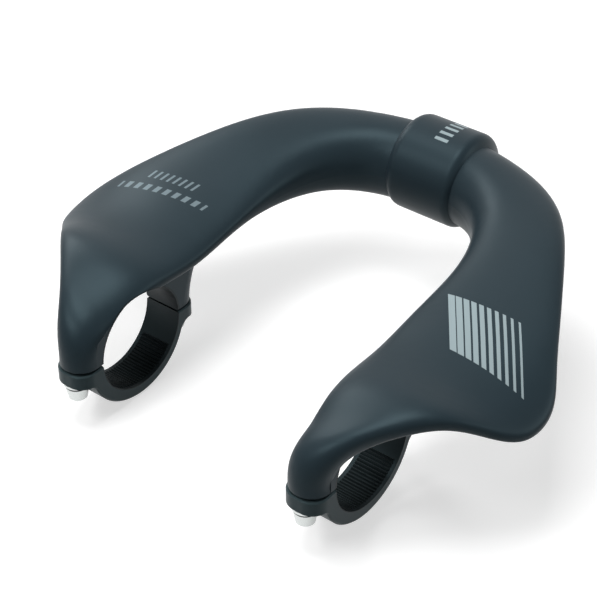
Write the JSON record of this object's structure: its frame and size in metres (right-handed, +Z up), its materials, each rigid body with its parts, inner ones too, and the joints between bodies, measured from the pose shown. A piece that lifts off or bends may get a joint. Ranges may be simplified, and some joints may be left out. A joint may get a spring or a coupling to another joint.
{
  "type": "aero handlebar extension",
  "caption": "Moulded loop-shaped aero handlebar extension with flat swept wings, a round front grip and bolted split clamps for a round handlebar.",
  "frame": {"origin": "on the axis of the handlebar that the clamps hold, midway between the two clamps", "axes": "+X along the handlebar to the rider's right, +Y forward to the grip, +Z up along the bolts"},
  "size_m": [0.165, 0.1405, 0.0544],
  "materials": {
    "moulding": "satin dark carbon composite",
    "cap": "satin black anodised alloy",
    "fastener": "plain steel"
  },
  "bodies": {
    "root": {"body": "moulding", "clamp_cap_left": "cap", "clamp_cap_right": "cap", "bolt_left_front": "fastener", "bolt_left_rear": "fastener", "bolt_right_front": "fastener", "bolt_right_rear": "fastener", "washer_left_front": "fastener", "washer_left_rear": "fastener", "washer_right_front": "fastener", "washer_right_rear": "fastener", "insert_left_front": "fastener", "insert_left_rear": "fastener", "insert_right_front": "fastener", "insert_right_rear": "fastener"}
  },
  "joints": []
}
